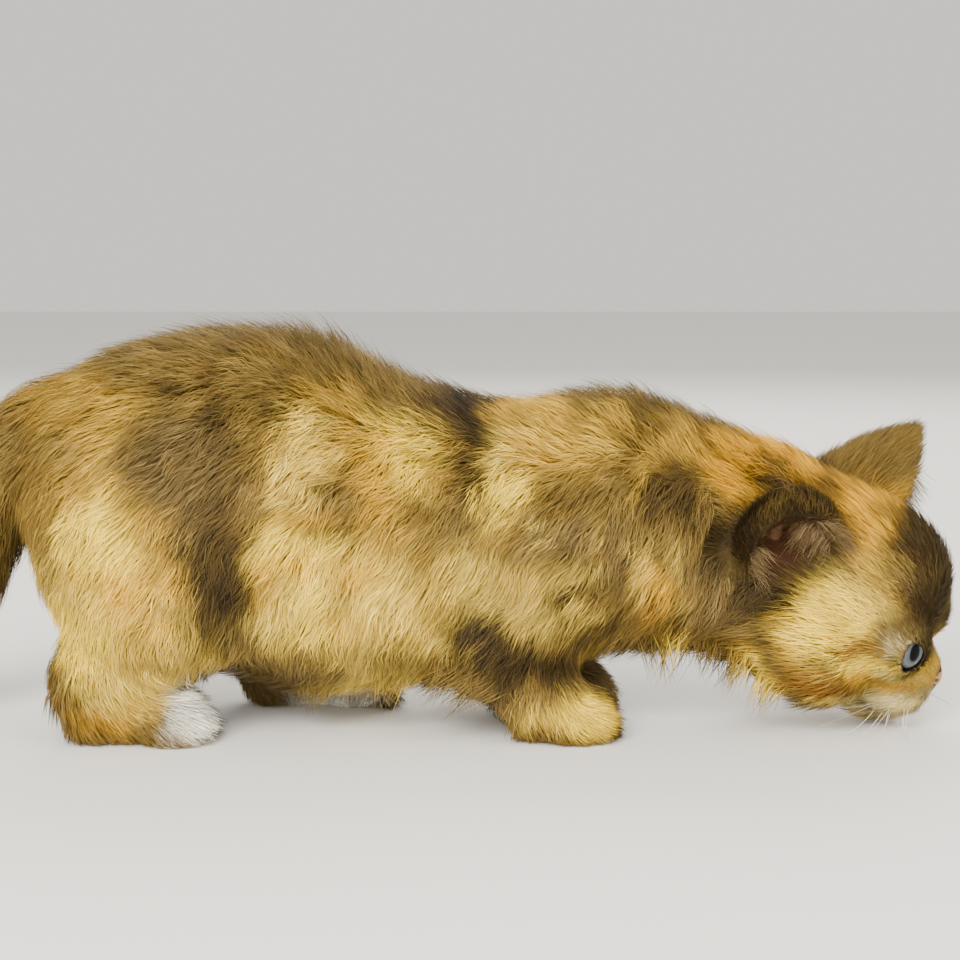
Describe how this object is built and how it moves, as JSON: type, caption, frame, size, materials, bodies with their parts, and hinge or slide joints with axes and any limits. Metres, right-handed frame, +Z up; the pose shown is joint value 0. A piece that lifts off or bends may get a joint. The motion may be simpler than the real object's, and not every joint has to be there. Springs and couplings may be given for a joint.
{
  "type": "short-legged kitten figure",
  "caption": "Life-size still model of a fluffy short-legged kitten, standing with its head lowered to sniff the ground and its tail hanging.",
  "frame": {"origin": "on the floor, under the middle of the whole cat", "axes": "+X the way the body faces, from tail to nose; +Y its left side; +Z up"},
  "size_m": [0.2926, 0.0876, 0.1051],
  "materials": {
    "head_coat": "short fur",
    "nose_leather": "moist, finely pebbled",
    "ear": "thin short fur outside, bare skin inside",
    "eye": "wet gloss",
    "neck_coat": "fluffy fur",
    "body_coat": "fluffy fur",
    "leg_coat": "fluffy fur",
    "fore_paw_coat": "short fur",
    "hind_paw_coat": "short fur",
    "tail_coat": "fluffy fur"
  },
  "bodies": {
    "root": {"head": "head_coat", "nose": "nose_leather", "ear_right": "ear", "ear_left": "ear", "eye_right": "eye", "eye_left": "eye", "neck": "neck_coat", "torso": "body_coat", "fore_right_leg": "leg_coat", "fore_right_paw": "fore_paw_coat", "fore_left_leg": "leg_coat", "fore_left_paw": "fore_paw_coat", "hind_right_leg": "leg_coat", "hind_right_paw": "hind_paw_coat", "hind_left_leg": "leg_coat", "hind_left_paw": "hind_paw_coat", "tail_base": "tail_coat", "tail_tip": "tail_coat"}
  },
  "joints": []
}
